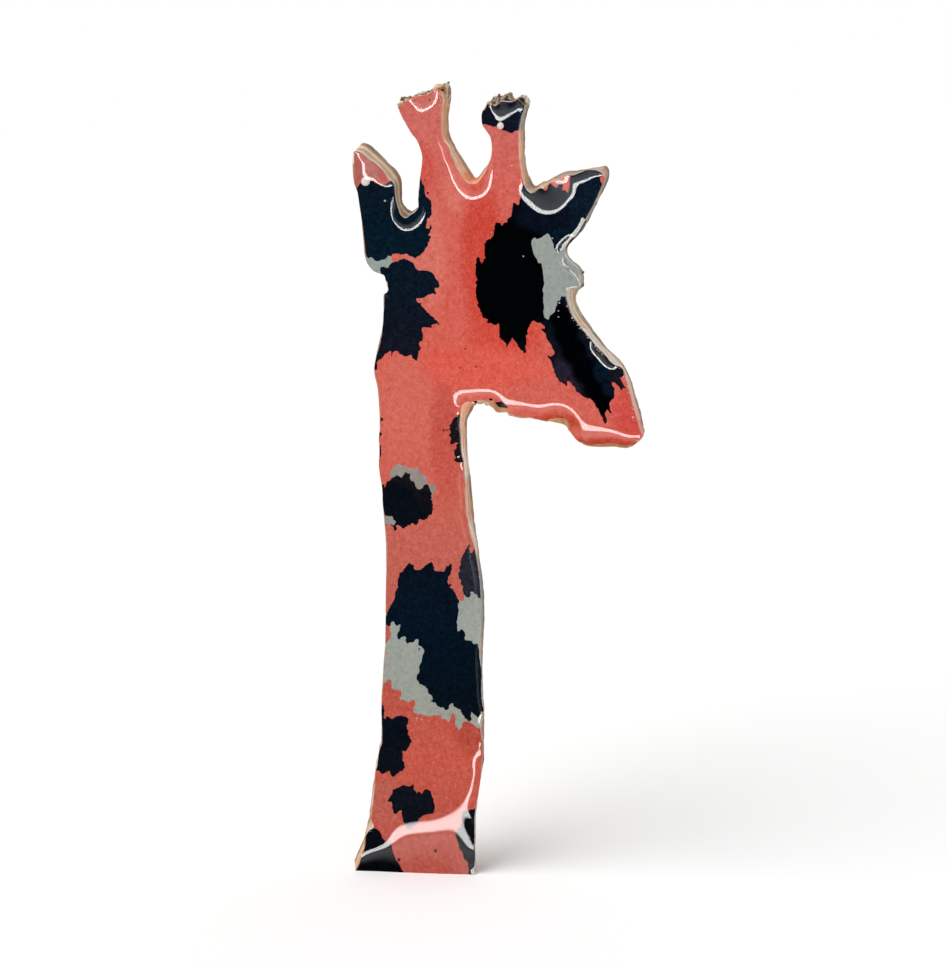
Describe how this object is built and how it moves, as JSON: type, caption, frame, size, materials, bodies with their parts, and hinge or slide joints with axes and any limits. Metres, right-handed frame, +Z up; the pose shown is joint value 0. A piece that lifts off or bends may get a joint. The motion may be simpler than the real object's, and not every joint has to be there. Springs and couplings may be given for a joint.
{
  "type": "giraffe head brooch",
  "caption": "Flat sawn-plywood giraffe head and neck faced with patterned paper under domed clear resin, with a safety-catch bar pin on its back.",
  "frame": {"origin": "below the middle of the object's box, level with the sawn end of the neck; the wood's back face is the plane Y = 0", "axes": "+Z up the neck, +X to the right seen from the front, +Y from the front to the pin on the back"},
  "size_m": [0.0352, 0.0092, 0.0877],
  "materials": {
    "ply_face": "raw sawn edge, light tan face veneer",
    "ply_core": "raw sawn edge, darker cross-grained core veneer",
    "print_coral": "printed paper, coral ground with navy-black and grey-green torn-edged patches",
    "clear_resin": "clear gloss epoxy with a few bubbles",
    "adhesive": "cured amber epoxy",
    "nickel": "bright nickel plate",
    "stem_steel": "drawn and ground steel wire"
  },
  "bodies": {
    "brooch": {"back_ply": "ply_face", "core_ply": "ply_core", "front_ply": "ply_face", "printed_paper": "print_coral", "resin_dome": "clear_resin", "adhesive_bond": "adhesive", "base_bar": "nickel", "hinge_rivet": "nickel", "catch_housing": "nickel", "catch_rivet": "nickel"},
    "pin_stem": {"pin_stem": "stem_steel"},
    "catch_rotor": {"catch_rotor": "nickel"}
  },
  "joints": [
    {"name": "stem_hinge", "type": "hinge", "parent": "brooch", "child": "pin_stem", "pos_m": [-0.0063, 0.0031, 0.0676], "axis": [1, 0, 0], "range_deg": [0, 110]},
    {"name": "catch_turn", "type": "hinge", "parent": "brooch", "child": "catch_rotor", "pos_m": [-0.0063, 0.0031, 0.0413], "axis": [0, 0, 1], "range_deg": [0, 110]}
  ]
}
